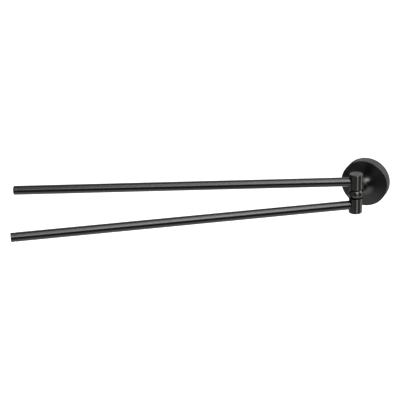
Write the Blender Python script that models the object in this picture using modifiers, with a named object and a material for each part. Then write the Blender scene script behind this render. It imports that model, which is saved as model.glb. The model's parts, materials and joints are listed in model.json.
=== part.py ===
"""Wall-mounted towel rack: two arms that swivel about one vertical pivot, one above the other.

The wall is the plane y = 0 and the room lies at y < 0. The origin is the centre of the rosette's back.
A round wall cup, the rosette, carries a slim neck that ends in a rounded hub, flat above and below. A pin
through the hub holds a barrel above it and one below it, and each barrel carries a straight tube.
"""

import math

import bmesh
import bpy
from mathutils import Matrix

# Driving dimensions in metres. "Depth" is the distance out from the wall, along -Y.
MM = 0.001
GAP = 0.3 * MM                      # clearance between pieces that are fastened together
RUNNING_GAP = 0.1 * MM              # clearance of a bush on its pin

ROSETTE_RADIUS = 27.5 * MM
ROSETTE_RIM_DEPTH = 13.0 * MM       # depth of the rim's front edge
ROSETTE_WALL = 2.5 * MM
ROSETTE_EDGE = 0.5 * MM             # rounding of the rim's front edge
CONE_RISE = 1.9 * MM                # how far the face rises from the rim to the flare
NECK_RADIUS = 5.2 * MM              # where it leaves the flare
NECK_TIP_RADIUS = 4.7 * MM          # where it enters the hub
NECK_JOINT_DEPTH = 27.0 * MM        # where the flare ends and the neck post begins
FLARE_RADIUS = 10.4 * MM            # radius of the hollow curve between the face and the neck

PIVOT_DEPTH = 44.5 * MM
HUB_RADIUS = 8.65 * MM
HUB_HALF_HEIGHT = 5.0 * MM
HUB_ROUNDING = 5.4 * MM             # radius of the hub's bulging side, seen from the side

THRUST_WASHER_RADIUS = 5.2 * MM
WASHER_GAP = 0.2 * MM

BARREL_RADIUS = 7.67 * MM
BARREL_LOW = 5.6 * MM               # height of the barrel's inner face above the hub's centre
BARREL_HIGH = 23.5 * MM
BARREL_EDGE = 0.8 * MM
BARREL_BORE = 4.6 * MM
NUT_SEAT = 17.0 * MM                # height of the shoulder that the nut presses on
NUT_CHAMBER_RADIUS = 5.5 * MM
CAP_SEAT = 21.7 * MM
CAP_RECESS_RADIUS = 6.5 * MM

ARM_RADIUS = 5.25 * MM
ARM_BORE = 4.25 * MM
ARM_REACH = 390.0 * MM              # from the pivot's axis to the tip
ARM_HEIGHT = 14.0 * MM              # height of the arm's axis above the hub's centre
END_CAP_LENGTH = 4.4 * MM
GROOVE_WIDTH = 0.6 * MM
GROOVE_DEPTH = 0.6 * MM
UPPER_ANGLE = math.radians(24.1)    # angle between the arm and the wall at rest
LOWER_ANGLE = math.radians(34.3)

PIN_RADIUS = 3.0 * MM
PIN_THREAD_RADIUS = 2.35 * MM
PIN_HALF_LENGTH = 21.3 * MM
STUD_RADIUS = 3.0 * MM              # of the neck post, inside the rosette
STUD_END_DEPTH = 3.4 * MM
GRUB_DEPTH = 6.5 * MM

WALL_PLATE_RADIUS = 24.7 * MM
WALL_PLATE_FLOOR = 2.5 * MM
WALL_PLATE_HEIGHT = 8.3 * MM
SCREW_HOLE_OFFSET = 14.5 * MM
SCREW_HOLE_RADIUS = 2.6 * MM
COUNTERSINK_RADIUS = 4.8 * MM
GRUB_RADIUS = 1.75 * MM
GRUB_LENGTH = 3.2 * MM
SPIGOT_THREAD_RADIUS = 2.5 * MM
SPIGOT_END = 24.0 * MM              # from the pivot's axis to the spigot's end inside the tube

LARGE_STEPS = 72                    # facets round the rosette and the wall plate
ROUND_STEPS = 40                    # facets round the barrels, the neck and the tubes
SMALL_STEPS = 24                    # facets round the small inner pieces
TAPER_STEPS = 8
HEX_SIDES = 6

OUTWARD = (math.pi / 2, 0.0, 0.0)   # turns local +Z to -Y, out from the wall
ALONG_ARM = (0.0, math.pi / 2, 0.0)  # turns local +Z to +X, along an arm


def clear_scene():
    for obj in list(bpy.data.objects):
        bpy.data.objects.remove(obj, do_unlink=True)


def make_collection(name):
    collection = bpy.data.collections.new(name)
    bpy.context.scene.collection.children.link(collection)
    return collection


clear_scene()
PARTS = make_collection("towel_rack")
CUTTERS = make_collection("cutters")


def make_material(name, colour, roughness, metallic):
    material = bpy.data.materials.new(name)
    material.use_nodes = True
    shader = material.node_tree.nodes["Principled BSDF"]
    shader.inputs["Base Color"].default_value = (*colour, 1.0)
    shader.inputs["Roughness"].default_value = roughness
    shader.inputs["Metallic"].default_value = metallic
    return material


BLACK_CHROME = make_material("black_chrome", (0.13, 0.13, 0.13), 0.28, 1.0)
ZINC_STEEL = make_material("zinc_plated_steel", (0.55, 0.55, 0.53), 0.4, 1.0)
STAINLESS = make_material("stainless_steel", (0.5, 0.49, 0.47), 0.3, 1.0)
BRASS = make_material("brass", (0.75, 0.56, 0.25), 0.35, 1.0)
NYLON = make_material("black_nylon", (0.02, 0.02, 0.02), 0.6, 0.0)


# ---------------------------------------------------------------- modelling helpers

def add_object(name, mesh, collection, material=None):
    obj = bpy.data.objects.new(name, mesh)
    collection.objects.link(obj)
    if material:
        mesh.materials.append(material)
    return obj


def turned(name, profile, material, steps=ROUND_STEPS, closed=False, collection=PARTS):
    """A turned piece about local Z. The profile (radius, height) runs down its outer side."""
    mesh = bpy.data.meshes.new(name)
    points = [(radius, 0.0, height) for radius, height in profile]
    edges = [(i, i + 1) for i in range(len(points) - 1)]
    if closed:
        edges.append((len(points) - 1, 0))
    mesh.from_pydata(points, edges, [])
    obj = add_object(name, mesh, collection, material)
    screw = obj.modifiers.new("turn", "SCREW")
    screw.axis = "Z"
    screw.angle = 2 * math.pi
    screw.steps = steps
    screw.render_steps = steps
    screw.use_merge_vertices = True
    screw.merge_threshold = 0.00001
    screw.use_smooth_shade = True
    return obj


def ring(name, inner, outer, low, high, material, steps=SMALL_STEPS):
    """A plain turned ring with a rectangular section."""
    profile = [(outer, high), (outer, low), (inner, low), (inner, high)]
    return turned(name, profile, material, steps, closed=True)


def arc(centre, radius, start, end, count):
    """Points (radius, height) on an arc, from the start angle to the end angle in degrees."""
    points = []
    for i in range(count + 1):
        angle = math.radians(start + (end - start) * i / count)
        points.append((centre[0] + radius * math.cos(angle), centre[1] + radius * math.sin(angle)))
    return points


def make_tool(obj):
    """Mark an object as a guide for a Boolean that is no part of the product."""
    obj.hide_render = True
    obj.display_type = "WIRE"


def cone_cutter(name, radius_low, radius_high, length, matrix, steps=SMALL_STEPS):
    """A cylinder or cone to cut with, about the matrix's local Z, from 0 to the length."""
    mesh = bpy.data.meshes.new(name)
    bm = bmesh.new()
    lift = Matrix.Translation((0.0, 0.0, length / 2))
    bmesh.ops.create_cone(bm, cap_ends=True, segments=steps, radius1=radius_low,
                          radius2=radius_high, depth=length, matrix=lift)
    bm.to_mesh(mesh)
    bm.free()
    cutter = add_object(name, mesh, CUTTERS)
    cutter.matrix_world = matrix
    make_tool(cutter)
    return cutter


def combine(target, tool, operation="DIFFERENCE"):
    """Take the tool's shape away from the target, or with UNION add it to the target."""
    boolean = target.modifiers.new(tool.name, "BOOLEAN")
    boolean.operation = operation
    boolean.solver = "EXACT"
    boolean.object = tool


def hex_nut(name, across_flats, height, hole_radius, material):
    """A hexagon nut about local Z, from 0 to its height, with a plain bore."""
    mesh = bpy.data.meshes.new(name)
    bm = bmesh.new()
    corner = across_flats / 2 / math.cos(math.pi / HEX_SIDES)
    lift = Matrix.Translation((0.0, 0.0, height / 2))
    bmesh.ops.create_cone(bm, cap_ends=True, segments=HEX_SIDES, radius1=corner,
                          radius2=corner, depth=height, matrix=lift)
    bm.to_mesh(mesh)
    bm.free()
    nut = add_object(name, mesh, PARTS, material)
    bore = cone_cutter(name + "_bore", hole_radius, hole_radius, 3 * height,
                       Matrix.Translation((0.0, 0.0, -height)))
    bore.parent = nut
    combine(nut, bore)
    return nut


def place(obj, location, rotation=(0.0, 0.0, 0.0)):
    obj.location = location
    obj.rotation_euler = rotation


def vertical(x, y, z):
    return Matrix.Translation((x, y, z))


# ---------------------------------------------------------------- wall side

def make_rosette():
    """Hollow wall cup: straight rim, shallow cone face and a hollow flare down to the neck."""
    edge = ROSETTE_EDGE
    flare_centre = (NECK_RADIUS + FLARE_RADIUS, NECK_JOINT_DEPTH - 2 * MM)
    cone_run = ROSETTE_RADIUS - edge - flare_centre[0]
    tilt = math.degrees(math.atan2(CONE_RISE, cone_run))
    profile = [(NECK_RADIUS, NECK_JOINT_DEPTH)]
    profile += arc(flare_centre, FLARE_RADIUS, 180, 270 - tilt, 12)
    profile += arc((ROSETTE_RADIUS - edge, ROSETTE_RIM_DEPTH - edge), edge, 90 - tilt, 0, 3)
    cavity_radius = ROSETTE_RADIUS - ROSETTE_WALL
    ceiling = ROSETTE_RIM_DEPTH - ROSETTE_WALL
    bore = STUD_RADIUS + GAP
    profile += [(ROSETTE_RADIUS, 0.0), (cavity_radius, 0.0), (cavity_radius, ceiling - edge),
                (cavity_radius - edge, ceiling), (bore, ceiling), (bore, NECK_JOINT_DEPTH)]
    rosette = turned("rosette", profile, BLACK_CHROME, LARGE_STEPS, closed=True)
    place(rosette, (0.0, 0.0, 0.0), OUTWARD)
    hole_radius = GRUB_RADIUS + GAP
    hole = cone_cutter("grub_hole", hole_radius, hole_radius, 2 * ROSETTE_WALL,
                       vertical(0.0, -GRUB_DEPTH, -ROSETTE_RADIUS - ROSETTE_WALL / 2))
    combine(rosette, hole)


def make_wall_plate():
    """Shallow dish screwed to the wall, with a groove round its rim for the grub screw's point."""
    rim_inner = WALL_PLATE_RADIUS - 2.3 * MM
    groove_radius = WALL_PLATE_RADIUS - 1.0 * MM
    profile = [(0.0, WALL_PLATE_FLOOR), (rim_inner, WALL_PLATE_FLOOR), (rim_inner, WALL_PLATE_HEIGHT),
               (WALL_PLATE_RADIUS, WALL_PLATE_HEIGHT), (WALL_PLATE_RADIUS, GRUB_DEPTH + 1.3 * MM),
               (groove_radius, GRUB_DEPTH + 0.5 * MM), (groove_radius, GRUB_DEPTH - 0.5 * MM),
               (WALL_PLATE_RADIUS, GRUB_DEPTH - 1.3 * MM), (WALL_PLATE_RADIUS, 0.0), (0.0, 0.0)]
    plate = turned("wall_plate", profile, ZINC_STEEL, LARGE_STEPS)
    place(plate, (0.0, 0.0, 0.0), OUTWARD)
    outward = Matrix.Rotation(math.pi / 2, 4, "X")
    for side, sign in (("left", -1), ("right", 1)):
        at = Matrix.Translation((sign * SCREW_HOLE_OFFSET, WALL_PLATE_FLOOR, 0.0)) @ outward
        combine(plate, cone_cutter(f"{side}_screw_hole", SCREW_HOLE_RADIUS, SCREW_HOLE_RADIUS,
                               3 * WALL_PLATE_FLOOR, at))
        # The countersink's cone starts at the hole's radius half way through the floor.
        slope_length = WALL_PLATE_FLOOR
        at = Matrix.Translation((sign * SCREW_HOLE_OFFSET, -WALL_PLATE_FLOOR / 2, 0.0)) @ outward
        wide = SCREW_HOLE_RADIUS + 2 * (COUNTERSINK_RADIUS - SCREW_HOLE_RADIUS)
        combine(plate, cone_cutter(f"{side}_countersink", SCREW_HOLE_RADIUS, wide, slope_length, at))


def make_grub_screw():
    """Cone-point screw in the rosette's underside, with a hexagon socket facing down."""
    point_height = GRUB_LENGTH - 1.2 * MM
    socket_radius = 1.0 * MM
    socket_depth = 1.3 * MM
    profile = [(0.0, GRUB_LENGTH), (0.5 * MM, GRUB_LENGTH), (GRUB_RADIUS, point_height),
               (GRUB_RADIUS, 0.0), (0.0, 0.0)]
    grub = turned("rosette_grub_screw", profile, STAINLESS, SMALL_STEPS)
    place(grub, (0.0, -GRUB_DEPTH, -ROSETTE_RADIUS + GAP))
    socket = cone_cutter("grub_socket", socket_radius, socket_radius, 2 * socket_depth,
                         vertical(0.0, 0.0, -socket_depth), HEX_SIDES)
    socket.parent = grub
    combine(grub, socket)


def make_neck_post():
    """Threaded stud, tapering neck and upright hub in one piece, with a hole for the pivot pin."""
    stud_start = NECK_JOINT_DEPTH + GAP
    chamfer = 0.6 * MM
    taper_start = stud_start + 1.5 * MM
    taper_end = PIVOT_DEPTH - HUB_RADIUS
    neck_end = PIVOT_DEPTH - 0.5 * HUB_RADIUS
    # The taper leaves the straight neck and reaches the hub without a kink at either end.
    taper = []
    for i in range(TAPER_STEPS + 1):
        turn = math.pi * i / TAPER_STEPS
        radius = NECK_TIP_RADIUS + (NECK_RADIUS - NECK_TIP_RADIUS) * (1 - math.cos(turn)) / 2
        taper.append((radius, taper_end + (taper_start - taper_end) * i / TAPER_STEPS))
    profile = [(0.0, neck_end), (NECK_TIP_RADIUS, neck_end)]
    profile += taper
    profile += [(NECK_RADIUS, stud_start), (STUD_RADIUS, stud_start),
                (STUD_RADIUS, STUD_END_DEPTH + chamfer), (STUD_RADIUS - chamfer, STUD_END_DEPTH),
                (0.0, STUD_END_DEPTH)]
    post = turned("neck_post", profile, BLACK_CHROME, ROUND_STEPS)
    place(post, (0.0, 0.0, 0.0), OUTWARD)
    edge_angle = math.degrees(math.asin(HUB_HALF_HEIGHT / HUB_ROUNDING))
    side = arc((HUB_RADIUS - HUB_ROUNDING, 0.0), HUB_ROUNDING, edge_angle, -edge_angle, 14)
    hub_profile = [(0.0, HUB_HALF_HEIGHT)] + side + [(0.0, -HUB_HALF_HEIGHT)]
    hub = turned("hub", hub_profile, None, ROUND_STEPS, collection=CUTTERS)
    place(hub, (0.0, -PIVOT_DEPTH, 0.0))
    make_tool(hub)
    combine(post, hub, "UNION")
    hole_radius = PIN_RADIUS + GAP
    combine(post, cone_cutter("pin_hole", hole_radius, hole_radius, 4 * HUB_HALF_HEIGHT,
                              vertical(0.0, -PIVOT_DEPTH, -2 * HUB_HALF_HEIGHT)))


def make_neck_fastening():
    """Split spring washer and nut that pull the neck post's stud against the rosette from inside."""
    ceiling = ROSETTE_RIM_DEPTH - ROSETTE_WALL
    washer_thickness = 1.2 * MM
    washer_radius = 5.3 * MM
    nut_height = 4.6 * MM
    nut_across_flats = 10.0 * MM
    slit_radius = 0.6 * MM
    slit_length = 1.5 * washer_radius
    washer_low = ceiling - GAP - washer_thickness
    washer = ring("neck_spring_washer", STUD_RADIUS + GAP, washer_radius, 0.0, washer_thickness, STAINLESS)
    place(washer, (0.0, -washer_low, 0.0), OUTWARD)
    # A four-sided bar from the centre outwards, stretched past both faces, opens the washer on one side.
    slit = cone_cutter("washer_slit", slit_radius, slit_radius, slit_length,
                       Matrix.Translation((0.0, 0.0, washer_thickness / 2))
                       @ Matrix.Rotation(math.pi / 2, 4, "Y") @ Matrix.Diagonal((3.0, 1.0, 1.0, 1.0)), 4)
    slit.parent = washer
    combine(washer, slit)
    nut = hex_nut("neck_lock_nut", nut_across_flats, nut_height, STUD_RADIUS + GAP, STAINLESS)
    place(nut, (0.0, -(washer_low - GAP - nut_height), 0.0), OUTWARD)


# ---------------------------------------------------------------- pivot

def make_pivot_pin():
    """Vertical pin through the hub, stepped down to a thread at both ends."""
    chamfer = 0.4 * MM
    upper = [(0.0, PIN_HALF_LENGTH), (PIN_THREAD_RADIUS - chamfer, PIN_HALF_LENGTH),
             (PIN_THREAD_RADIUS, PIN_HALF_LENGTH - chamfer), (PIN_THREAD_RADIUS, NUT_SEAT),
             (PIN_RADIUS, NUT_SEAT)]
    lower = [(radius, -height) for radius, height in reversed(upper)]
    pin = turned("pivot_pin", upper + lower, STAINLESS, SMALL_STEPS)
    place(pin, (0.0, -PIVOT_DEPTH, 0.0))


def wave_washer(name):
    """Thin spring ring about local Z whose height rises and falls three times round."""
    inner = PIN_THREAD_RADIUS + GAP
    outer = NUT_CHAMBER_RADIUS - 2 * GAP
    thickness = 0.3 * MM
    wave = 0.12 * MM
    waves = 3
    mesh = bpy.data.meshes.new(name)
    bm = bmesh.new()
    corners = [(inner, -thickness / 2), (outer, -thickness / 2), (outer, thickness / 2), (inner, thickness / 2)]
    verts = [bm.verts.new((radius, 0.0, height)) for radius, height in corners]
    edges = [bm.edges.new((verts[i - 1], verts[i])) for i in range(len(verts))]
    bmesh.ops.spin(bm, geom=verts + edges, cent=(0.0, 0.0, 0.0), axis=(0.0, 0.0, 1.0),
                   angle=2 * math.pi, steps=SMALL_STEPS, use_merge=True)
    for vert in bm.verts:
        vert.co.z += wave * math.cos(waves * math.atan2(vert.co.y, vert.co.x))
    bmesh.ops.recalc_face_normals(bm, faces=bm.faces)
    bm.to_mesh(mesh)
    bm.free()
    return add_object(name, mesh, PARTS, STAINLESS)


# ---------------------------------------------------------------- one arm, along its own +X

def make_barrel(side):
    """Hub of an arm: bored for the bush, wider above for the nut, with a recess for its cap."""
    edge = BARREL_EDGE
    profile = [(CAP_RECESS_RADIUS, BARREL_HIGH)]
    profile += arc((BARREL_RADIUS - edge, BARREL_HIGH - edge), edge, 90, 0, 4)
    profile += [(BARREL_RADIUS, BARREL_LOW + GAP), (BARREL_RADIUS - GAP, BARREL_LOW),
                (BARREL_BORE, BARREL_LOW), (BARREL_BORE, NUT_SEAT), (NUT_CHAMBER_RADIUS, NUT_SEAT),
                (NUT_CHAMBER_RADIUS, CAP_SEAT), (CAP_RECESS_RADIUS, CAP_SEAT)]
    barrel = turned(f"{side}_barrel", profile, BLACK_CHROME, ROUND_STEPS, closed=True)
    hole_radius = SPIGOT_THREAD_RADIUS + GAP
    hole = cone_cutter(f"{side}_spigot_hole", hole_radius, hole_radius, 2 * BARREL_RADIUS,
                       Matrix.Translation((BARREL_BORE / 2, 0.0, ARM_HEIGHT))
                       @ Matrix.Rotation(math.pi / 2, 4, "Y"))
    hole.parent = barrel
    combine(barrel, hole)
    return [barrel]


def make_barrel_cap(side):
    chamfer = 0.15 * MM
    radius = CAP_RECESS_RADIUS - GAP
    low = CAP_SEAT + GAP
    profile = [(0.0, BARREL_HIGH), (radius - chamfer, BARREL_HIGH), (radius, BARREL_HIGH - chamfer),
               (radius, low), (0.0, low)]
    return [turned(f"{side}_barrel_cap", profile, BLACK_CHROME)]


def make_bush(side):
    """Sleeve between the pin and the barrel's bore."""
    return [ring(f"{side}_pivot_bush", PIN_RADIUS + RUNNING_GAP, BARREL_BORE - GAP,
                 BARREL_LOW + GAP, NUT_SEAT - GAP, NYLON)]


def make_thrust_washer(side):
    """Thin washer that keeps the barrel off the hub and gives the arm its drag."""
    low = HUB_HALF_HEIGHT + WASHER_GAP
    high = BARREL_LOW - WASHER_GAP
    return [ring(f"{side}_thrust_washer", PIN_RADIUS + GAP, THRUST_WASHER_RADIUS, low, high, NYLON,
                 ROUND_STEPS)]


def make_pin_fastening(side):
    """Wave washer and thin nut on the pin's threaded end, inside the barrel."""
    nut_across_flats = 8.0 * MM
    nut_height = 2.8 * MM
    half_room = 0.55 * MM               # the wave washer's half height and its gap
    washer = wave_washer(f"{side}_wave_washer")
    washer.location.z = NUT_SEAT + half_room
    nut = hex_nut(f"{side}_lock_nut", nut_across_flats, nut_height, PIN_THREAD_RADIUS + GAP, BRASS)
    nut.location.z = NUT_SEAT + 2 * half_room
    return [washer, nut]


def make_arm_tube(side):
    """Straight tube whose inner end is cut hollow to sit on the barrel."""
    end = ARM_REACH - END_CAP_LENGTH - GROOVE_WIDTH
    start = 0.5 * BARREL_RADIUS
    tube = ring(f"{side}_arm_tube", ARM_BORE, ARM_RADIUS, start, end, BLACK_CHROME, ROUND_STEPS)
    place(tube, (0.0, 0.0, ARM_HEIGHT), ALONG_ARM)
    cope = BARREL_RADIUS + GAP
    cutter = cone_cutter(f"{side}_cope", cope, cope, 4 * ARM_RADIUS,
                         Matrix.Translation((0.0, 0.0, ARM_HEIGHT - 2 * ARM_RADIUS)), ROUND_STEPS)
    combine(tube, cutter)
    return [tube, cutter]


def make_arm_spigot(side):
    """Threaded into the barrel's wall at its thin end, pressed into the tube at its thick end."""
    thread = SPIGOT_THREAD_RADIUS
    body = ARM_BORE - GAP
    shoulder = BARREL_RADIUS + GAP
    chamfer = 0.5 * MM
    profile = [(0.0, SPIGOT_END), (body - chamfer, SPIGOT_END), (body, SPIGOT_END - chamfer),
               (body, shoulder), (thread, shoulder), (thread, BARREL_BORE + GAP),
               (0.0, BARREL_BORE + GAP)]
    spigot = turned(f"{side}_arm_spigot", profile, STAINLESS, SMALL_STEPS)
    place(spigot, (0.0, 0.0, ARM_HEIGHT), ALONG_ARM)
    return [spigot]


def make_end_cap(side):
    """Plug in the tube's free end, with a rounded edge and a fine groove where it meets the tube."""
    edge = 0.7 * MM
    inner = ARM_REACH - END_CAP_LENGTH
    plug_end = inner - 10.0 * MM
    groove = ARM_RADIUS - GROOVE_DEPTH
    plug = ARM_BORE - GAP
    profile = [(0.0, ARM_REACH)]
    profile += arc((ARM_RADIUS - edge, ARM_REACH - edge), edge, 90, 0, 4)
    profile += [(ARM_RADIUS, inner), (groove, inner), (groove, inner - GROOVE_WIDTH + GAP),
                (plug, inner - GROOVE_WIDTH + GAP), (plug, plug_end), (0.0, plug_end)]
    cap = turned(f"{side}_arm_end_cap", profile, BLACK_CHROME)
    place(cap, (0.0, 0.0, ARM_HEIGHT), ALONG_ARM)
    return [cap]


def make_arm(side, angle, turned_over):
    """Everything of one side of the pivot, parented to an empty on the joint's axis.

    The lower side is the upper one turned over about its own length.
    """
    pivot = bpy.data.objects.new(f"{side}_arm_pivot", None)
    PARTS.objects.link(pivot)
    place(pivot, (0.0, -PIVOT_DEPTH, 0.0), (math.pi if turned_over else 0.0, 0.0, math.pi + angle))
    makers = (make_barrel, make_barrel_cap, make_bush, make_thrust_washer, make_pin_fastening,
              make_arm_tube, make_arm_spigot, make_end_cap)
    for maker in makers:
        for piece in maker(side):
            piece.parent = pivot


make_wall_plate()
make_rosette()
make_grub_screw()
make_neck_post()
make_neck_fastening()
make_pivot_pin()
make_arm("upper", UPPER_ANGLE, turned_over=False)
make_arm("lower", LOWER_ANGLE, turned_over=True)
bpy.context.view_layer.update()
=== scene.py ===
# %% [markdown]
# # A towel rack with two swivelling arms
#
# A round rosette is fixed to the bathroom wall. A slim neck stands out from it and ends in a rounded hub.
# A pin through the hub carries one barrel above and one below, and each barrel carries a straight tube, so
# the two tubes swing past each other like a gate with two bars. All of it is turned brass and drawn tube
# under a satin black chrome plate.
#
# The wall is the plane y = 0, the room lies towards -Y, and +Z is up. The moving model is already made: it
# is loaded here as a fixed frame, and this lesson dresses it. Every place and size below is read from that
# frame or from a few workshop sizes in millimetres.

# %% Load the frame
import json
import math

import bmesh
import bpy
from mathutils import Matrix, Vector


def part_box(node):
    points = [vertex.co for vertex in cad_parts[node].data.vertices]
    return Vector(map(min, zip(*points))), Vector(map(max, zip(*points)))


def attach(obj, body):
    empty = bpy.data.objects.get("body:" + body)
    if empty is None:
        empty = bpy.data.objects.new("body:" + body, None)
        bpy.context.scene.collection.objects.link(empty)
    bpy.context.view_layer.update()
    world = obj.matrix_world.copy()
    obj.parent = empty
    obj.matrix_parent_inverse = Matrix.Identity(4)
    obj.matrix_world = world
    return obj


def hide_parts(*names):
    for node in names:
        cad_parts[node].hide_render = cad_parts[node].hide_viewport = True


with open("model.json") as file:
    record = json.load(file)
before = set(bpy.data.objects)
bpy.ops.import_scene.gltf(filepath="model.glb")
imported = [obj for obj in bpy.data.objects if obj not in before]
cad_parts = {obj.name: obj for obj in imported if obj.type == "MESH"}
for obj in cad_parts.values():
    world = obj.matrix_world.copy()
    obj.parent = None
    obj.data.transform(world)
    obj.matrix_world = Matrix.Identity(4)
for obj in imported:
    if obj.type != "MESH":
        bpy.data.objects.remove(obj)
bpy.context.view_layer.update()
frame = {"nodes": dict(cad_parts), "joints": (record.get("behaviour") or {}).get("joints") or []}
MM = 0.001


def in_mm(vector):
    return [round(value / MM, 2) for value in vector]


# %% [markdown]
# ## Where the axes are
#
# Everything here is turned on a lathe, so each piece needs an axis: the neck's axis runs straight out of
# the wall, the pivot's axis stands upright, and each arm has its own axis. The joints in the frame give
# the pivot. An end cap is turned, so the mean of its points lies on its arm's axis.

# %% Read the pivot and the arms' directions from the frame
OUT_OF_WALL = Vector((0.0, -1.0, 0.0))
UP = Vector((0.0, 0.0, 1.0))
hinges = {joint["child"]: Vector(joint["pos_m"]) for joint in frame["joints"]}
PIVOT = Vector((hinges["upper_arm"].x, hinges["upper_arm"].y, 0.0))


def mean_point(node):
    """The mean of a turned piece's points, which lies on its axis."""
    points = [vert.co for vert in frame["nodes"][node].data.vertices]
    return sum(points, Vector()) / len(points)


ARMS = {}
for side in ("upper", "lower"):
    hinge = hinges[f"{side}_arm"]
    along = (mean_point(f"{side}_arm_end_cap") - hinge).normalized()
    ARMS[side] = {"body": f"{side}_arm", "hinge": hinge, "along": along, "up": 1 if side == "upper" else -1}
    swing = math.degrees(math.atan2(-along.y, -along.x))
    print(f"{side} arm: {swing:.1f} degrees off the wall, at height {hinge.z / MM:.1f} mm")

# %% [markdown]
# ## One lathe for all the pieces
#
# A turned piece is half a cross-section swept once round an axis. Blender can do that with the Screw
# modifier or with the `spin` operator. `spin` is used here, because the corners of the section can then be
# rounded one by one with `bevel`, as a lathe tool breaks each edge to its own width. `use_merge` closes the
# seam, and a second merge closes the poles where the section touches the axis.

# %% Turn a section, and break its edges
TINY = 0.00001


def turned(section, steps, closed=False):
    """A turned shape about +Z from a section of (radius, height) points, as a bmesh."""
    bm = bmesh.new()
    points = [bm.verts.new((radius, 0.0, height)) for radius, height in section]
    edges = [bm.edges.new(pair) for pair in zip(points, points[1:])]
    if closed:
        edges.append(bm.edges.new((points[-1], points[0])))
    bmesh.ops.spin(bm, geom=points + edges, axis=UP, angle=2 * math.pi, steps=steps, use_merge=True)
    bmesh.ops.remove_doubles(bm, verts=bm.verts, dist=TINY)
    bmesh.ops.recalc_face_normals(bm, faces=bm.faces)
    return bm


def break_edge(bm, radius, height, width, segments=4):
    """Rounds the ring edge that lies at this radius and height."""
    ring = {vert for vert in bm.verts
            if abs(vert.co.z - height) < TINY and abs(vert.co.xy.length - radius) < TINY}
    edges = [edge for edge in bm.edges if edge.verts[0] in ring and edge.verts[1] in ring]
    bmesh.ops.bevel(bm, geom=edges, offset=width, offset_type="OFFSET", affect="EDGES",
                    segments=segments, profile=0.5, material=-1)


def arc(centre_radius, centre_height, size, start, end, count):
    """Points (radius, height) on part of a circle, from the start angle to the end angle in degrees."""
    angles = [math.radians(start + (end - start) * i / count) for i in range(count + 1)]
    return [(centre_radius + size * math.cos(a), centre_height + size * math.sin(a)) for a in angles]


def stand(bm, origin, direction):
    """Moves a shape made about +Z so that +Z points along the direction from the origin."""
    turn = UP.rotation_difference(direction).to_matrix().to_4x4()
    bmesh.ops.transform(bm, matrix=Matrix.Translation(origin) @ turn, verts=bm.verts)
    return bm


# %% [markdown]
# ## Drilling and joining
#
# Holes are drilled with a Boolean, which needs two objects. They are thrown away as soon as the result is
# read back, so no stray cutter stays in the scene.

# %% Combine two solids
def combined(bm, tool, operation="DIFFERENCE"):
    """The first shape with the tool taken away from it, or joined to it with UNION."""
    holders = []
    for shape in (bm, tool):
        mesh = bpy.data.meshes.new("workpiece")
        shape.to_mesh(mesh)
        shape.free()
        holder = bpy.data.objects.new("workpiece", mesh)
        bpy.context.scene.collection.objects.link(holder)
        holders.append(holder)
    boolean = holders[0].modifiers.new("combine", "BOOLEAN")
    boolean.operation = operation
    boolean.solver = "EXACT"
    boolean.object = holders[1]
    result = bmesh.new()
    result.from_object(holders[0], bpy.context.evaluated_depsgraph_get())
    for holder in holders:
        bpy.data.meshes.remove(holder.data)
    return result


def rod(radius, length, origin, direction, steps=48):
    """A plain cylinder to drill with, from the origin along the direction."""
    section = [(0.0, length), (radius, length), (radius, 0.0), (0.0, 0.0)]
    return stand(turned(section, steps), origin, direction)


# %% [markdown]
# ## From a shape to a piece
#
# A long face beside a small rounded edge shades unevenly, because a shared point's normal is an average of
# both. The Weighted Normal modifier lets the larger face win, so a straight side is shaded straight.

# %% Turn a finished shape into a piece of the rack
CREASE = math.radians(32)


def make_piece(bm, name, materials, body, node):
    """Stores the shape as an object, dresses it, puts it on its body and hides the CAD node that it
    replaces.
    """
    mesh = bpy.data.meshes.new(name)
    bm.to_mesh(mesh)
    bm.free()
    mesh.shade_smooth()
    mesh.set_sharp_from_angle(angle=CREASE)
    for material in materials:
        mesh.materials.append(material)
    piece = bpy.data.objects.new(name, mesh)
    bpy.context.scene.collection.objects.link(piece)
    piece.modifiers.new("even_shading", "WEIGHTED_NORMAL").keep_sharp = True
    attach(piece, body)
    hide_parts(node)
    print(f"{name}: {len(mesh.polygons)} faces, {in_mm(piece.dimensions)} mm")
    return piece


# %% [markdown]
# ## Colours and nodes
#
# A colour on a paint card is an sRGB value, and shaders count in linear light, so one function converts
# it. Another function adds a node, sets its values and links its inputs in one call.

# %% Helpers for materials
def linear(hex_colour):
    """The linear RGBA of an sRGB hex colour such as 8A8D8F."""
    channels = [int(hex_colour[i:i + 2], 16) / 255 for i in (0, 2, 4)]
    return (*[c / 12.92 if c <= 0.04045 else ((c + 0.055) / 1.055) ** 2.4 for c in channels], 1.0)


def add_node(tree, kind, inputs, **settings):
    """Adds a node. An input is given a value, or the output socket that it is linked to."""
    node = tree.nodes.new(kind)
    for name, value in settings.items():
        setattr(node, name, value)
    for name, value in inputs.items():
        if isinstance(value, bpy.types.NodeSocket):
            tree.links.new(value, node.inputs[name])
        else:
            node.inputs[name].default_value = value
    return node


def new_material(name):
    """An empty material with its output node, and the tree to build in."""
    material = bpy.data.materials.new(name)
    material.use_nodes = True
    tree = material.node_tree
    tree.nodes.clear()
    return material, tree, add_node(tree, "ShaderNodeOutputMaterial", {})


# %% [markdown]
# ## Metal from the lathe
#
# Turned and centreless-polished metal carries very fine lines that run round the axis. They depend only on
# how far along the axis and how far out from it a point is. So the pattern is a noise that is read at
# (distance from the axis, place along the axis): it is the same all the way round, which is what a tool
# leaves. The real lines are about 0.03 mm apart. They are drawn 0.25 mm apart, since finer ones would be
# lost between the samples. They tilt the surface by a hair and vary the roughness a little. A second,
# slow noise is the uneven haze that fingers and a cloth leave.
#
# Lines too fine to draw still do one thing that shows: they smear a highlight across themselves and leave
# it crisp along themselves. That is why turned metal has long bright streaks. `silk` sets how strong the
# smear is, and the tangent that steers it runs round the axis. It is worked out from the axis in the
# object's own space and then turned with the object, so it stays right when an arm swings.

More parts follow.
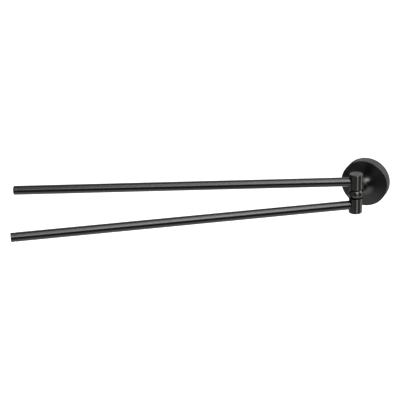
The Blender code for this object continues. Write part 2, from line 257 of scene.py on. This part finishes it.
# %% A function for every lathe-turned metal
LINE_SPACING = 0.25 * MM
HAZE_SIZE = 18.0 * MM


def turned_metal(name, colour, roughness, spread, silk, line_depth, origin, direction):
    """A metal whose polishing lines run round the axis through the origin."""
    material, tree, output = new_material(name)
    turn = direction.rotation_difference(UP)
    place = turn @ -Vector(origin)
    where = add_node(tree, "ShaderNodeTexCoord", {}).outputs["Object"]
    mapping = add_node(tree, "ShaderNodeMapping", {"Vector": where, "Rotation": turn.to_euler(),
                                                   "Location": place}, vector_type="POINT")
    axes = add_node(tree, "ShaderNodeSeparateXYZ", {"Vector": mapping.outputs["Vector"]})
    across = add_node(tree, "ShaderNodeCombineXYZ", {"X": axes.outputs["X"], "Y": axes.outputs["Y"]})
    radius = add_node(tree, "ShaderNodeVectorMath", {0: across.outputs["Vector"]}, operation="LENGTH")
    section = add_node(tree, "ShaderNodeCombineXYZ", {"X": radius.outputs["Value"],
                                                      "Y": axes.outputs["Z"]})
    lines = add_node(tree, "ShaderNodeTexNoise", {"Vector": section.outputs["Vector"],
                                                  "Scale": 1 / LINE_SPACING, "Detail": 2.0},
                     noise_dimensions="2D")
    haze = add_node(tree, "ShaderNodeTexNoise", {"Vector": where, "Scale": 1 / HAZE_SIZE,
                                                 "Detail": 3.0, "Roughness": 0.6})
    mixed = add_node(tree, "ShaderNodeMath", {0: lines.outputs["Fac"], 1: haze.outputs["Fac"]},
                     operation="ADD")
    rough = add_node(tree, "ShaderNodeMapRange", {"Value": mixed.outputs["Value"], "From Min": 0.7,
                                                  "From Max": 1.3, "To Min": roughness - spread,
                                                  "To Max": roughness + spread})
    bump = add_node(tree, "ShaderNodeBump", {"Height": lines.outputs["Fac"], "Strength": 0.25,
                                             "Distance": line_depth})
    from_axis = add_node(tree, "ShaderNodeVectorMath", {0: where, 1: Vector(origin)},
                         operation="SUBTRACT")
    around = add_node(tree, "ShaderNodeVectorMath", {0: direction, 1: from_axis.outputs["Vector"]},
                      operation="CROSS_PRODUCT")
    posed = add_node(tree, "ShaderNodeVectorTransform", {"Vector": around.outputs["Vector"]},
                     vector_type="VECTOR", convert_from="OBJECT", convert_to="WORLD")
    shader = add_node(tree, "ShaderNodeBsdfPrincipled", {"Base Color": linear(colour), "Metallic": 1.0,
                                                         "Roughness": rough.outputs["Result"],
                                                         "Anisotropic": silk,
                                                         "Anisotropic Rotation": 0.25,
                                                         "Tangent": posed.outputs["Vector"],
                                                         "Normal": bump.outputs["Normal"]})
    tree.links.new(shader.outputs["BSDF"], output.inputs["Surface"])
    return material


# %% [markdown]
# ## Satin black chrome
#
# Black chrome is a thin, dark, slightly porous chromium plate over polished brass. It mirrors its
# surroundings at about a twentieth of their brightness, so most of it looks nearly black, a white wall
# looks grey in it, and only lamps give clear highlights. Towards a grazing angle it brightens like any
# metal. The wall side, the pivot and each arm need their own copy, because the polishing lines run round
# each piece's own axis.

# %% Black chrome for the wall side, the pivot and each arm
BLACK_CHROME_COLOUR = "424241"
LINE_DEPTH = 0.0003 * MM


def black_chrome(part, origin, direction):
    return turned_metal(f"black_chrome_polished_{part}", BLACK_CHROME_COLOUR, 0.27, 0.015, 0.8,
                        LINE_DEPTH, origin, direction)


wall_chrome = black_chrome("round_neck", Vector(), OUT_OF_WALL)
pivot_chrome = black_chrome("round_pivot", PIVOT, UP)
for side, arm in ARMS.items():
    arm["chrome"] = black_chrome(f"round_{side}_tube", arm["hinge"], arm["along"])
print("black chrome:", [round(value, 3) for value in linear(BLACK_CHROME_COLOUR)[:3]])

# %% [markdown]
# ## The metals inside
#
# Nothing of these shows while the rack is together, but they are seen from behind and when it is taken
# apart: turned stainless steel for the pin, spigots, washers and screws, and turned brass for the nuts.

# %% Stainless steel and brass
STAINLESS_COLOUR = "B9B7B2"
BRASS_COLOUR = "D9B979"
BENCH_LINE_DEPTH = 0.004 * MM
steel_upright = turned_metal("stainless_steel_turned_upright", STAINLESS_COLOUR, 0.28, 0.06, 0.6,
                             BENCH_LINE_DEPTH, PIVOT, UP)
steel_outward = turned_metal("stainless_steel_turned_outward", STAINLESS_COLOUR, 0.28, 0.06, 0.6,
                             BENCH_LINE_DEPTH, Vector(), OUT_OF_WALL)
brass = turned_metal("brass_turned", BRASS_COLOUR, 0.32, 0.06, 0.6, BENCH_LINE_DEPTH, PIVOT, UP)
for side, arm in ARMS.items():
    arm["steel"] = turned_metal(f"stainless_steel_turned_{side}_spigot", STAINLESS_COLOUR, 0.28, 0.06, 0.6,
                                BENCH_LINE_DEPTH, arm["hinge"], arm["along"])
print("metals inside:", steel_upright.name, steel_outward.name, brass.name)

# %% [markdown]
# ## Zinc-plated steel
#
# The wall plate is a steel pressing, dipped in a bright zinc bath. Zinc grows in soft cloudy patches a few
# millimetres across, some a little bluer and shinier than others, over the grain of the rolled sheet.

# %% Zinc plate
def zinc_plate():
    material, tree, output = new_material("zinc_plated_steel_pressed")
    where = add_node(tree, "ShaderNodeTexCoord", {}).outputs["Object"]
    clouds = add_node(tree, "ShaderNodeTexNoise", {"Vector": where, "Scale": 1 / (6 * MM),
                                                   "Detail": 4.0, "Roughness": 0.55})
    rolled = add_node(tree, "ShaderNodeMapping", {"Vector": where, "Scale": (0.06, 1.0, 1.0)})
    grain = add_node(tree, "ShaderNodeTexNoise", {"Vector": rolled.outputs["Vector"],
                                                  "Scale": 1 / (0.4 * MM), "Detail": 2.0})
    tint = add_node(tree, "ShaderNodeValToRGB", {"Fac": clouds.outputs["Fac"]})
    tint.color_ramp.elements[0].position = 0.35
    tint.color_ramp.elements[0].color = linear("A9ADB3")
    tint.color_ramp.elements[1].position = 0.65
    tint.color_ramp.elements[1].color = linear("C6C7C4")
    rough = add_node(tree, "ShaderNodeMapRange", {"Value": clouds.outputs["Fac"], "From Min": 0.3,
                                                  "From Max": 0.7, "To Min": 0.30, "To Max": 0.44})
    bump = add_node(tree, "ShaderNodeBump", {"Height": grain.outputs["Fac"], "Strength": 0.3,
                                             "Distance": 0.01 * MM})
    shader = add_node(tree, "ShaderNodeBsdfPrincipled", {"Base Color": tint.outputs["Color"],
                                                         "Metallic": 1.0,
                                                         "Roughness": rough.outputs["Result"],
                                                         "Normal": bump.outputs["Normal"]})
    tree.links.new(shader.outputs["BSDF"], output.inputs["Surface"])
    return material


zinc = zinc_plate()
print("made", zinc.name)

# %% [markdown]
# ## Black nylon
#
# The bushes and thrust washers are injection moulded from nylon filled with graphite. The mould was spark
# eroded, so its surface is a fine even grain, and the plastic is nearly black with a dull sheen.

# %% Nylon
def moulded_nylon():
    material, tree, output = new_material("graphite_nylon_moulded")
    where = add_node(tree, "ShaderNodeTexCoord", {}).outputs["Object"]
    grain = add_node(tree, "ShaderNodeTexNoise", {"Vector": where, "Scale": 1 / (0.2 * MM),
                                                  "Detail": 2.0})
    tone = add_node(tree, "ShaderNodeValToRGB", {"Fac": grain.outputs["Fac"]})
    tone.color_ramp.elements[0].color = linear("161617")
    tone.color_ramp.elements[1].color = linear("222223")
    bump = add_node(tree, "ShaderNodeBump", {"Height": grain.outputs["Fac"], "Strength": 0.4,
                                             "Distance": 0.02 * MM})
    shader = add_node(tree, "ShaderNodeBsdfPrincipled", {"Base Color": tone.outputs["Color"],
                                                         "Roughness": 0.52, "IOR": 1.53,
                                                         "Normal": bump.outputs["Normal"]})
    tree.links.new(shader.outputs["BSDF"], output.inputs["Surface"])
    return material


nylon = moulded_nylon()
print("made", nylon.name)

# %% [markdown]
# ## Rosette
#
# The rosette is a hollow cup. Its rim is straight, its face is a shallow cone that keeps water running
# off, and a hollow curve lifts the face into the neck. The curve is a quarter of a circle that meets the
# cone without a kink. The cup is open at the back and slips over the wall plate, and a hole in its
# underside takes the grub screw.

# %% Turn the rosette
rosette_low, rosette_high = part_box("rosette")
ROSETTE_RADIUS = rosette_high.x
NECK_JOINT = -rosette_low.y
RIM_DEPTH = 13.0 * MM
RIM_EDGE = 0.5 * MM
CUP_WALL = 2.5 * MM
CONE_RISE = 1.9 * MM
NECK_RADIUS = 5.2 * MM
FLARE_RADIUS = 10.4 * MM
STUD_RADIUS = 3.0 * MM
HAIRLINE = 0.05 * MM

flare_middle = NECK_RADIUS + FLARE_RADIUS
flare_depth = NECK_JOINT - 2 * MM
cone_angle = math.degrees(math.atan2(CONE_RISE, ROSETTE_RADIUS - RIM_EDGE - flare_middle))
cup_radius = ROSETTE_RADIUS - CUP_WALL
cup_depth = RIM_DEPTH - CUP_WALL
stud_hole = STUD_RADIUS + HAIRLINE
section = [(NECK_RADIUS, NECK_JOINT)]
section += arc(flare_middle, flare_depth, FLARE_RADIUS, 180, 270 - cone_angle, 40)
section += arc(ROSETTE_RADIUS - RIM_EDGE, RIM_DEPTH - RIM_EDGE, RIM_EDGE, 90 - cone_angle, 0, 6)
section += [(ROSETTE_RADIUS, 0.0), (cup_radius, 0.0), (cup_radius, cup_depth), (stud_hole, cup_depth),
            (stud_hole, NECK_JOINT)]
rosette = turned(section, 160, closed=True)
break_edge(rosette, ROSETTE_RADIUS, 0.0, 0.25 * MM)
break_edge(rosette, cup_radius, 0.0, 0.25 * MM)
break_edge(rosette, cup_radius, cup_depth, 0.8 * MM)
stand(rosette, Vector(), OUT_OF_WALL)
grub_low, grub_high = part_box("rosette_grub_screw")
GRUB_RADIUS = (grub_high.x - grub_low.x) / 2
GRUB_DEPTH = -(grub_low.y + grub_high.y) / 2
grub_hole = rod(GRUB_RADIUS + HAIRLINE, 2 * CUP_WALL,
                Vector((0.0, -GRUB_DEPTH, -ROSETTE_RADIUS - CUP_WALL / 2)), UP)
rosette = combined(rosette, grub_hole)
make_piece(rosette, "wall_rosette", [wall_chrome], "wall_mount", "rosette")

# %% [markdown]
# ## Neck and hub
#
# The neck tapers a little from the rosette to the hub, and the hub is a thick ring with a bulging side,
# flat above and below where the barrels bear on it. They are two turnings on axes that cross, joined into
# one solid, and the pivot pin's hole is drilled through. The threaded stud behind reaches into the cup.

# %% Turn the neck, turn the hub and join them
post_low, post_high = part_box("neck_post")
HUB_RADIUS = -post_low.y + PIVOT.y
STUD_END = -post_high.y
HUB_HALF = 5.0 * MM
HUB_BULGE = 5.4 * MM
NECK_TIP_RADIUS = 4.7 * MM
PIN_RADIUS = 3.0 * MM
CHAMFER = 0.6 * MM

neck_start = NECK_JOINT + HAIRLINE
taper_start = neck_start + 1.5 * MM
taper_end = -PIVOT.y - HUB_RADIUS
section = [(0.0, -PIVOT.y - HUB_RADIUS / 2), (NECK_TIP_RADIUS, -PIVOT.y - HUB_RADIUS / 2)]
for i in range(25):
    blend = (1 - math.cos(math.pi * i / 24)) / 2
    section.append((NECK_TIP_RADIUS + (NECK_RADIUS - NECK_TIP_RADIUS) * blend,
                    taper_end + (taper_start - taper_end) * i / 24))
section += [(NECK_RADIUS, neck_start), (STUD_RADIUS, neck_start), (STUD_RADIUS, STUD_END + CHAMFER),
            (STUD_RADIUS - CHAMFER, STUD_END), (0.0, STUD_END)]
neck = stand(turned(section, 96), Vector(), OUT_OF_WALL)

edge_angle = math.degrees(math.asin(HUB_HALF / HUB_BULGE))
section = [(0.0, HUB_HALF)]
section += arc(HUB_RADIUS - HUB_BULGE, 0.0, HUB_BULGE, edge_angle, -edge_angle, 48)
section += [(0.0, -HUB_HALF)]
hub = stand(turned(section, 128), PIVOT, UP)
neck = combined(neck, hub, "UNION")
pin_hole = rod(PIN_RADIUS + HAIRLINE, 4 * HUB_HALF, PIVOT - 2 * HUB_HALF * UP, UP)
neck = combined(neck, pin_hole)
for face in neck.faces:
    across = face.calc_center_median() - PIVOT
    face.material_index = 1 if across.xy.length > HUB_RADIUS + TINY else 0
make_piece(neck, "neck_and_hub", [pivot_chrome, wall_chrome], "wall_mount", "neck_post")

# %% [markdown]
# ## Barrels and their caps
#
# A barrel is a short thick tube that turns on the pin: bored for its bush, wider at the outer end for the
# nut, and closed by a flat cap that is pressed in flush, so that only a hairline shows. The lower barrel is
# the same part turned over.

# %% Turn the barrels and caps
barrel_low, barrel_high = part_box("upper_barrel")
BARREL_RADIUS = (barrel_high.x - barrel_low.x) / 2
BARREL_LOW = barrel_low.z
BARREL_HIGH = barrel_high.z
BARREL_EDGE = 0.8 * MM
BARREL_BORE = 4.6 * MM
NUT_SEAT = 17.0 * MM
NUT_CHAMBER = 5.5 * MM
CAP_SEAT = 21.7 * MM
CAP_RADIUS = 6.5 * MM
SPIGOT_HOLE = 2.55 * MM

for side, arm in ARMS.items():
    outward = UP * arm["up"]
    section = [(CAP_RADIUS, BARREL_HIGH), (BARREL_RADIUS, BARREL_HIGH), (BARREL_RADIUS, BARREL_LOW),
               (BARREL_BORE, BARREL_LOW), (BARREL_BORE, NUT_SEAT), (NUT_CHAMBER, NUT_SEAT),
               (NUT_CHAMBER, CAP_SEAT), (CAP_RADIUS, CAP_SEAT)]
    barrel = turned(section, 128, closed=True)
    break_edge(barrel, BARREL_RADIUS, BARREL_HIGH, BARREL_EDGE, 8)
    break_edge(barrel, BARREL_RADIUS, BARREL_LOW, 0.35 * MM)
    stand(barrel, PIVOT, outward)
    hole = rod(SPIGOT_HOLE, 2 * BARREL_RADIUS, arm["hinge"] + arm["along"] * BARREL_BORE / 2, arm["along"])
    make_piece(combined(barrel, hole), f"{side}_turned_barrel", [pivot_chrome], arm["body"],
               f"{side}_barrel")
    cap_radius = CAP_RADIUS - HAIRLINE / 2
    section = [(0.0, BARREL_HIGH), (cap_radius, BARREL_HIGH), (cap_radius, CAP_SEAT + HAIRLINE),
               (0.0, CAP_SEAT + HAIRLINE)]
    cap = turned(section, 128)
    break_edge(cap, cap_radius, BARREL_HIGH, 0.05 * MM, 2)
    stand(cap, PIVOT, outward)
    make_piece(cap, f"{side}_flush_cap", [pivot_chrome], arm["body"],
               f"{side}_barrel_cap")

# %% [markdown]
# ## Arm tubes
#
# A tube is cut square from drawn stock, its inner edge is rounded off, and the end is coped: milled hollow
# so that it sits on the round barrel all the way round. The rounding leaves a thin dark groove between
# tube and barrel. A Boolean could do the cope. Sliding the end's points along the tube until the end ring
# touches the barrel is simpler, and keeps every quad.

# %% Turn the tubes and cope their ends
cap_low, cap_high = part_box("upper_arm_end_cap")
ARM_RADIUS = (cap_high.z - cap_low.z) / 2
ARM_BORE = ARM_RADIUS - 1.0 * MM
END_CAP_LENGTH = 4.4 * MM
GROOVE_WIDTH = 0.6 * MM
GROOVE_DEPTH = 0.6 * MM
SEAT_ROUNDING = 0.9 * MM


def arm_reach(side, arm):
    """Distance from the pivot's axis to the tip: the farthest point of the end cap along the arm."""
    cap = frame["nodes"][f"{side}_arm_end_cap"]
    return max((vert.co - arm["hinge"]).dot(arm["along"]) for vert in cap.data.vertices)


for side, arm in ARMS.items():
    reach = arm_reach(side, arm) - 2 * HAIRLINE
    arm["reach"] = reach
    end = reach - END_CAP_LENGTH - GROOVE_WIDTH
    seat = BARREL_RADIUS + HAIRLINE
    section = [(ARM_RADIUS, end), (ARM_RADIUS, seat), (ARM_BORE, seat), (ARM_BORE, end)]
    tube = turned(section, 96, closed=True)
    break_edge(tube, ARM_RADIUS, end, 0.15 * MM)
    break_edge(tube, ARM_RADIUS, seat, SEAT_ROUNDING, 6)
    stand(tube, arm["hinge"], arm["along"])
    beside = UP.cross(arm["along"])
    for vert in tube.verts:
        offset = vert.co - arm["hinge"]
        if offset.dot(arm["along"]) < seat + SEAT_ROUNDING + TINY:
            touch = math.sqrt(seat ** 2 - offset.dot(beside) ** 2)
            vert.co += (touch - seat) * arm["along"]
    make_piece(tube, f"{side}_towel_tube", [arm["chrome"]], arm["body"],
               f"{side}_arm_tube")
    print(f"{side} arm reaches {reach / MM:.1f} mm from the pivot")

# %% [markdown]
# ## End caps
#
# A solid plug closes the free end. Its head is as wide as the tube, with a rounded edge that is kind to
# towels, and a fine groove sets it off from the tube.

# %% Turn the end caps
for side, arm in ARMS.items():
    head = arm["reach"] - END_CAP_LENGTH
    plug = ARM_BORE - HAIRLINE
    neck_in = ARM_RADIUS - GROOVE_DEPTH
    groove_floor = head - GROOVE_WIDTH + HAIRLINE
    section = [(0.0, arm["reach"]), (ARM_RADIUS, arm["reach"]), (ARM_RADIUS, head), (neck_in, head),
               (neck_in, groove_floor), (plug, groove_floor), (plug, head - 10 * MM),
               (0.0, head - 10 * MM)]
    cap = turned(section, 96)
    break_edge(cap, ARM_RADIUS, arm["reach"], 0.7 * MM, 8)
    break_edge(cap, ARM_RADIUS, head, 0.15 * MM)
    stand(cap, arm["hinge"], arm["along"])
    make_piece(cap, f"{side}_tube_plug", [arm["chrome"]], arm["body"],
               f"{side}_arm_end_cap")

# %% [markdown]
# ## Wall plate and grub screw
#
# The wall plate is seen only from behind. It is a shallow pressed dish with two countersunk holes for
# wood screws, and a groove round its rim that the grub screw's point wedges into.

# %% Press the wall plate
plate_low, plate_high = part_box("wall_plate")
PLATE_RADIUS = plate_high.x
PLATE_HEIGHT = -plate_low.y
PLATE_FLOOR = 2.5 * MM
PLATE_RIM = 2.3 * MM
SCREW_OFFSET = 14.5 * MM
SCREW_HOLE = 2.6 * MM
COUNTERSINK = 4.8 * MM
groove = PLATE_RADIUS - 1.0 * MM
section = [(0.0, PLATE_FLOOR), (PLATE_RADIUS - PLATE_RIM, PLATE_FLOOR),
           (PLATE_RADIUS - PLATE_RIM, PLATE_HEIGHT), (PLATE_RADIUS, PLATE_HEIGHT),
           (PLATE_RADIUS, GRUB_DEPTH + 1.3 * MM), (groove, GRUB_DEPTH + 0.5 * MM),
           (groove, GRUB_DEPTH - 0.5 * MM), (PLATE_RADIUS, GRUB_DEPTH - 1.3 * MM), (PLATE_RADIUS, 0.0),
           (0.0, 0.0)]
plate = turned(section, 144)
break_edge(plate, PLATE_RADIUS, 0.0, 0.4 * MM)
break_edge(plate, PLATE_RADIUS, PLATE_HEIGHT, 0.5 * MM)
break_edge(plate, PLATE_RADIUS - PLATE_RIM, PLATE_HEIGHT, 0.5 * MM)
break_edge(plate, PLATE_RADIUS - PLATE_RIM, PLATE_FLOOR, 0.8 * MM)
stand(plate, Vector(), OUT_OF_WALL)
for sign in (-1, 1):
    centre = Vector((sign * SCREW_OFFSET, 0.0, 0.0))
    plate = combined(plate, rod(SCREW_HOLE, 4 * PLATE_FLOOR, centre - 2 * PLATE_FLOOR * OUT_OF_WALL,
                                OUT_OF_WALL))
    slope = COUNTERSINK - SCREW_HOLE
    cone = [(0.0, 2 * PLATE_FLOOR), (COUNTERSINK + slope, 2 * PLATE_FLOOR),
            (SCREW_HOLE - slope, 0.0), (0.0, 0.0)]
    plate = combined(plate, stand(turned(cone, 48), centre, OUT_OF_WALL))
make_piece(plate, "screwed_wall_plate", [zinc], "wall_mount", "wall_plate")

# %% Turn the grub screw
grub_length = grub_high.z - grub_low.z
point = 1.2 * MM
section = [(0.0, grub_length), (0.5 * MM, grub_length), (GRUB_RADIUS, grub_length - point),
           (GRUB_RADIUS, 0.0), (0.0, 0.0)]
grub_foot = Vector((0.0, -GRUB_DEPTH, grub_low.z))
grub = stand(turned(section, 48), grub_foot, UP)
socket_depth = 1.3 * MM
grub = combined(grub, rod(1.0 * MM, 2 * socket_depth, grub_foot - socket_depth * UP, UP, 6))
make_piece(grub, "socket_grub_screw", [steel_outward], "wall_mount",
           "rosette_grub_screw")

# %% [markdown]
# ## The pieces inside
#
# The pin, bushes, washers, nuts and spigots keep the frame's own meshes, whose shapes are right. Each gets
# the finish that it has on the bench.

# %% Dress the frame's own pieces
finishes = {"neck_spring_washer": steel_outward, "neck_lock_nut": steel_outward,
            "pivot_pin": steel_upright}
for side, arm in ARMS.items():
    finishes[f"{side}_wave_washer"] = steel_upright
    finishes[f"{side}_lock_nut"] = brass
    finishes[f"{side}_pivot_bush"] = nylon
    finishes[f"{side}_thrust_washer"] = nylon
    finishes[f"{side}_arm_spigot"] = arm["steel"]
for node, material in finishes.items():
    materials = frame["nodes"][node].data.materials
    materials.clear()
    materials.append(material)
print("dressed:", ", ".join(sorted(finishes)))

# %% [markdown]
# ## Floor and surroundings
#
# Polished metal shows what stands round it, so the room matters as much as the finish. The floor is plain
# white and lies as far below as it would in a bathroom. It is lit so evenly that it reads as white paper.
# What the metal mirrors is a studio: a white floor below, a white wall behind that shows from just above
# the rack upwards, a grey card on the left, a white card behind on the right, and a dark room in front.
# The world shader draws that from the direction alone, and the camera itself sees plain white.

# %% Lay the floor
FLOOR_DROP = 1.1
FLOOR_HALF = 14.0
bm = bmesh.new()
bmesh.ops.create_grid(bm, x_segments=1, y_segments=1, size=FLOOR_HALF,
                      matrix=Matrix.Translation((0.0, 0.0, -FLOOR_DROP)))
floor_mesh = bpy.data.meshes.new("floor")
bm.to_mesh(floor_mesh)
bm.free()
floor = bpy.data.objects.new("floor", floor_mesh)
bpy.context.scene.collection.objects.link(floor)
floor_white, tree, output = new_material("white_floor_paint_evenly_lit")
glow = add_node(tree, "ShaderNodeBsdfPrincipled", {"Base Color": linear("F4F4F4"), "Roughness": 0.9,
                                                   "Emission Color": linear("FFFFFF"),
                                                   "Emission Strength": 1.0})
tree.links.new(glow.outputs["BSDF"], output.inputs["Surface"])
floor_mesh.materials.append(floor_white)
floor.visible_glossy = False
print("floor:", 2 * FLOOR_HALF, "m across,", FLOOR_DROP, "m below the pivot")

# %% Draw the studio in the world shader
DARK_ROOM = 0.12
world = bpy.data.worlds.new("studio")
bpy.context.scene.world = world
world.use_nodes = True
tree = world.node_tree
tree.nodes.clear()
direction = add_node(tree, "ShaderNodeTexCoord", {}).outputs["Generated"]
axes = add_node(tree, "ShaderNodeSeparateXYZ", {"Vector": direction})


def fade(axis, start, end, level=1.0):
    """Rises from 0 to the level as the direction's X, Y or Z goes from start to end."""
    ramp = add_node(tree, "ShaderNodeMapRange", {"Value": axes.outputs[axis], "From Min": start,
                                                 "From Max": end, "To Max": level},
                    interpolation_type="SMOOTHSTEP")
    return ramp.outputs["Result"]


def calculate(operation, first, second):
    return add_node(tree, "ShaderNodeMath", {0: first, 1: second}, operation=operation).outputs[0]


white_floor = fade("Z", -0.3, -0.85, 1.2)
left_card = calculate("MULTIPLY", fade("X", 0.05, -0.35, 0.28), fade("Y", 0.2, -0.3))
wall_above = calculate("MULTIPLY", fade("Y", 0.2, 0.7, 0.8), fade("Z", -0.05, 0.3))
right_card = calculate("MULTIPLY", fade("Y", 0.0, 0.4, 0.64), fade("X", 0.1, 0.4))
level = calculate("MAXIMUM", calculate("MAXIMUM", white_floor, left_card),
                  calculate("MAXIMUM", wall_above, right_card))
level = calculate("ADD", level, DARK_ROOM)
mirrored = add_node(tree, "ShaderNodeBackground", {"Color": linear("FFFFFF"), "Strength": level})
seen = add_node(tree, "ShaderNodeBackground", {"Color": linear("FFFFFF"), "Strength": 1.0})
ray = add_node(tree, "ShaderNodeLightPath", {})
choice = add_node(tree, "ShaderNodeMixShader", {"Fac": ray.outputs["Is Camera Ray"],
                                                1: mirrored.outputs["Background"],
                                                2: seen.outputs["Background"]})
add_node(tree, "ShaderNodeOutputWorld", {"Surface": choice.outputs["Shader"]})
print("world:", world.name, "with", len(tree.nodes), "nodes")

# %% [markdown]
# ## Lights
#
# Three soft boxes light everything: the key in front on the right, a wide one high on the right that fills
# the top of the tubes near the pivot, and one behind on the right that lights the rosette's rim. Three
# more are flagged off from all but a few pieces, as is usual with polished metal: a front box stretches the
# tubes' bright band downwards and out to their tips, and two strips low on the right draw the upright lines
# on the barrels and the hub.

# %% Hang the soft boxes
def towards(azimuth, elevation):
    """A unit vector: azimuth 0 is out of the wall, 90 is to the right, elevation is up."""
    a, e = math.radians(azimuth), math.radians(elevation)
    return Vector((math.sin(a) * math.cos(e), -math.cos(a) * math.cos(e), math.sin(e)))


def soft_box(name, azimuth, elevation, distance, width, height, brightness):
    """An area light that faces the pivot. A brightness of 1 matches the white floor."""
    lamp = bpy.data.lights.new(name, "AREA")
    lamp.shape = "RECTANGLE"
    lamp.size = width
    lamp.size_y = height
    lamp.energy = math.pi * width * height * brightness
    box = bpy.data.objects.new(name, lamp)
    bpy.context.scene.collection.objects.link(box)
    box.visible_camera = False
    aim = towards(azimuth, elevation)
    box.location = PIVOT + distance * aim
    box.rotation_euler = aim.to_track_quat("Z", "Y").to_euler()
    return box


soft_box("key_box", 45, 40, 1.6, 0.8, 1.1, 5.4)
soft_box("overhead_box", 62, 70, 1.7, 1.6, 1.6, 3.0)
soft_box("right_rear_box", 123, 30, 1.6, 0.8, 1.2, 3.7)
front_box = soft_box("front_box", 12, 31, 1.6, 0.8, 0.68, 3.3)
right_strip = soft_box("right_strip", 46, -22, 1.2, 0.42, 0.7, 2.6)
rear_strip = soft_box("rear_strip", 125, -22, 1.2, 0.6, 0.7, 0.9)


def keep_to(lamp, pieces):
    """Flags a light off from everything but the named pieces."""
    lit = bpy.data.collections.new(f"lit_by_{lamp.name}")
    for name in pieces:
        lit.objects.link(bpy.data.objects[name])
    lamp.light_linking.receiver_collection = lit


keep_to(front_box, [f"{side}_{piece}" for side in ARMS for piece in ("towel_tube", "tube_plug")])
keep_to(right_strip, [f"{side}_turned_barrel" for side in ARMS] + ["neck_and_hub"])
keep_to(rear_strip, [f"{side}_turned_barrel" for side in ARMS])

# %% [markdown]
# ## Camera
#
# A long lens looks from the right and a little above, held almost level. Its stance is given in metres
# and degrees.

# %% Set the camera
scene = bpy.context.scene
scene.view_settings.view_transform = "Standard"
azimuth, elevation, roll = 25.72, 22.34, math.radians(-2.04)
back = towards(azimuth, elevation)
right = UP.cross(back).normalized()
above = back.cross(right)
camera_data = bpy.data.cameras.new("camera")
camera_data.lens = 94.56
camera_data.sensor_width = 36.0
camera = bpy.data.objects.new("camera", camera_data)
scene.collection.objects.link(camera)
rolled_right = math.cos(roll) * right + math.sin(roll) * above
rolled_up = math.cos(roll) * above - math.sin(roll) * right
stance = Matrix((rolled_right, rolled_up, back)).transposed().to_4x4()
stance.translation = Vector((0.32043, -1.11862, 0.45313))
camera.matrix_world = stance
scene.camera = camera
print(f"camera: {camera_data.lens:.0f} mm lens, {(stance.translation - PIVOT).length:.2f} m from the pivot")
